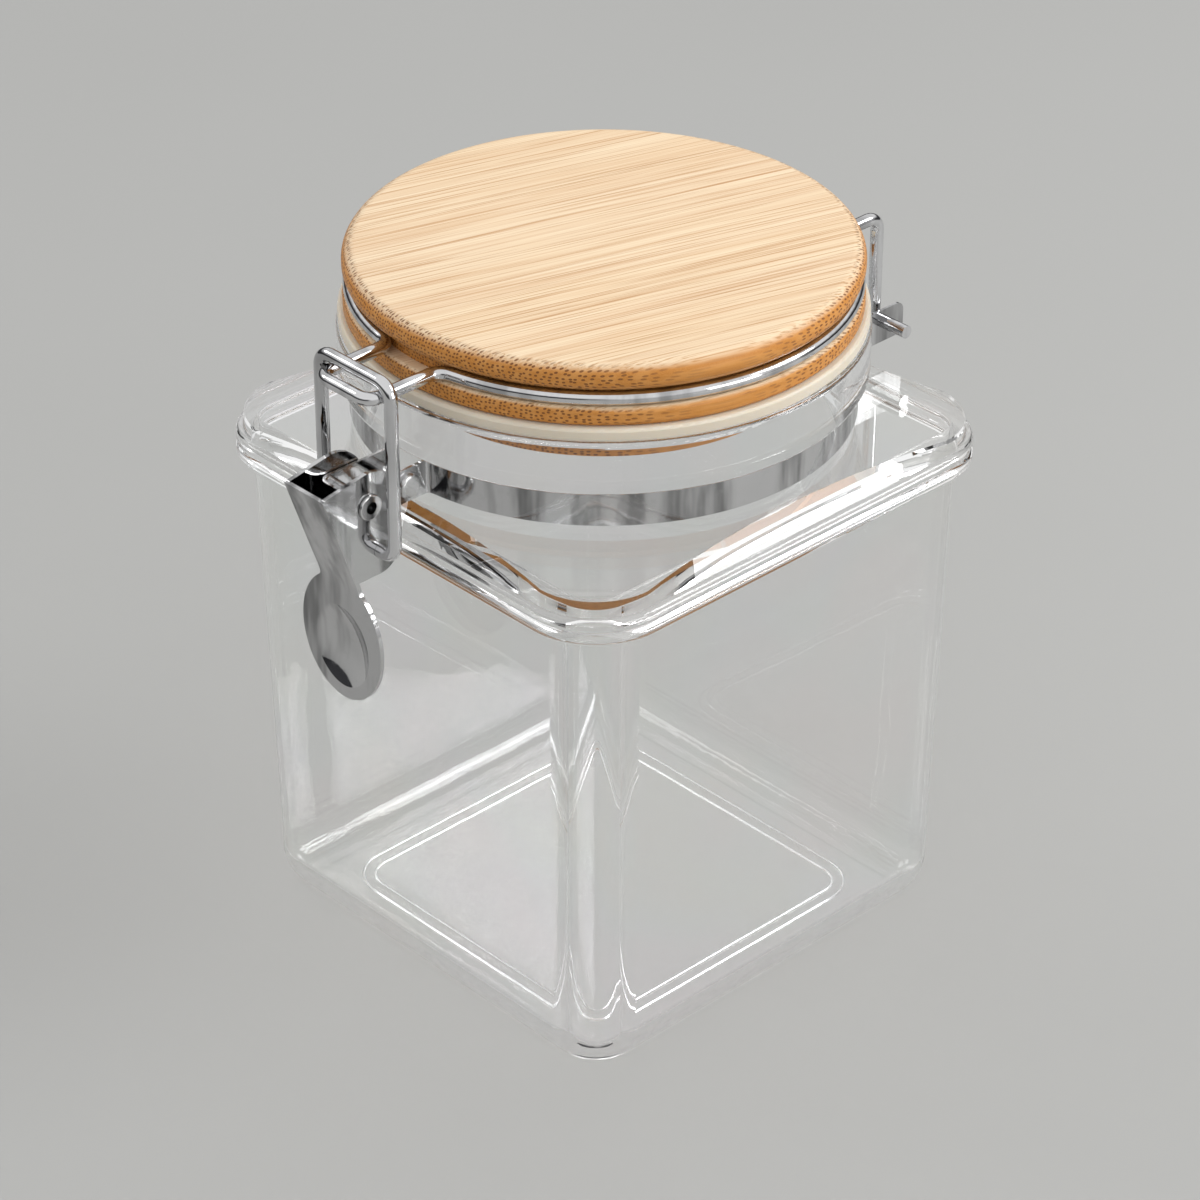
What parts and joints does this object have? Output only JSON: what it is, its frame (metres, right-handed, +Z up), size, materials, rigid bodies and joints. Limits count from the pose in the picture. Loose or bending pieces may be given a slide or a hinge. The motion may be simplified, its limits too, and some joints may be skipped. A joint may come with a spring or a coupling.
{
  "type": "square storage canister",
  "caption": "Square clear canister with round neck, bamboo lid, silicone gasket, wire bail hinge and over-centre latch.",
  "frame": {"origin": "middle of the base on the surface that it stands on", "axes": "+Z up, latch towards -Y, hinge towards +Y"},
  "size_m": [0.1164, 0.1434, 0.1576],
  "materials": {
    "clear_acrylic": "clear, polished",
    "chrome_strip": "bright plated sheet",
    "chrome_rivet": "bright plated",
    "chrome_wire": "bright plated wire",
    "bamboo": "oiled bamboo, satin",
    "silicone": "milky, satin"
  },
  "bodies": {
    "canister": {"body": "clear_acrylic", "shoulder": "clear_acrylic", "neck_strap": "chrome_strip", "strap_rivet": "chrome_rivet", "pivot_eyelet": "chrome_rivet"},
    "bail": {"lid_bail": "chrome_wire"},
    "lid": {"lid": "bamboo", "gasket": "silicone"},
    "lever": {"latch_lever": "chrome_strip"},
    "loop": {"latch_loop": "chrome_wire"}
  },
  "joints": [
    {"name": "bail_hinge", "type": "hinge", "parent": "canister", "child": "bail", "pos_m": [0, 0.0582, 0.12665], "axis": [-1, 0, 0], "range_deg": [0, 170]},
    {"name": "lid_spin", "type": "hinge", "parent": "bail", "child": "lid", "pos_m": [0, 0, 0.1501], "axis": [0, 0, 1], "continuous": true},
    {"name": "lever_pivot", "type": "hinge", "parent": "canister", "child": "lever", "pos_m": [0, -0.0679, 0.12595], "axis": [-1, 0, 0], "range_deg": [0, 120]},
    {"name": "loop_pivot", "type": "hinge", "parent": "lever", "child": "loop", "pos_m": [0, -0.0656, 0.11515], "axis": [-1, 0, 0], "range_deg": [-120, 0]}
  ],
  "couplings": [
    {"joint": "loop_pivot", "follows": "lever_pivot", "ratio": -1}
  ]
}
